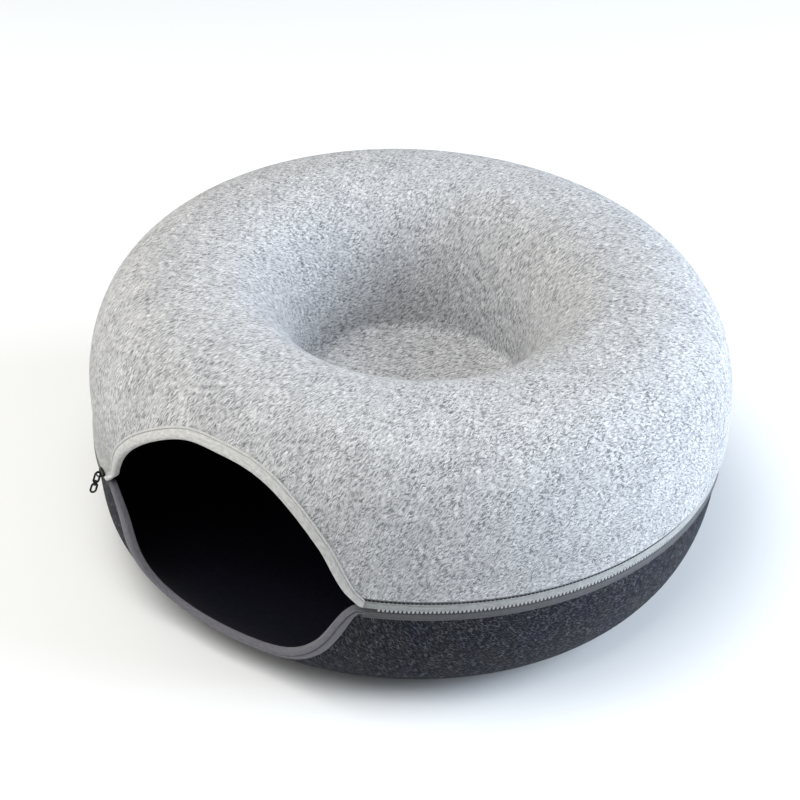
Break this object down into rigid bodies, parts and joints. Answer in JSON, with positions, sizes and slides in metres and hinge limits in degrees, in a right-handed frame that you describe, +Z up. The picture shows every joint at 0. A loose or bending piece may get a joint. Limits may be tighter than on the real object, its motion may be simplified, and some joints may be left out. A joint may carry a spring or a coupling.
{
  "type": "cat tunnel bed",
  "caption": "Round felt cat bed: a hollow ring closed by a zip, with an eye-shaped mouth into the tunnel at the front and a dished seat in the middle of the top.",
  "frame": {"origin": "on the floor, at the middle of the bounding box; the ring's axis stands 7.08 mm in front of it, at y = -0.00708 m, because the mouth cuts away the ring's front", "axes": "+Z up, the mouth of the tunnel faces -Y, +X to the right as one looks into the mouth"},
  "size_m": [0.5, 0.4858, 0.2225],
  "materials": {
    "pale_felt": "matt pale grey marled felt with fine darker fibres",
    "dark_felt": "matt charcoal felt with pale flecks",
    "pale_ribbon": "finely ribbed pale grey ribbon",
    "grey_ribbon": "finely ribbed mid grey ribbon",
    "pale_tape": "woven pale grey zip tape",
    "grey_tape": "woven mid grey zip tape",
    "zip_teeth": "pale grey coil of zip teeth, slightly shiny",
    "dark_metal": "blackened metal, slightly worn"
  },
  "bodies": {
    "root": {"top_shell": "pale_felt", "base_shell": "dark_felt", "mouth_binding_upper": "pale_ribbon", "mouth_binding_lower": "grey_ribbon", "zip_tape_upper": "pale_tape", "zip_tape_lower": "grey_tape", "zip_chain": "zip_teeth", "zip_slider": "dark_metal", "zip_pull": "dark_metal"}
  },
  "joints": []
}
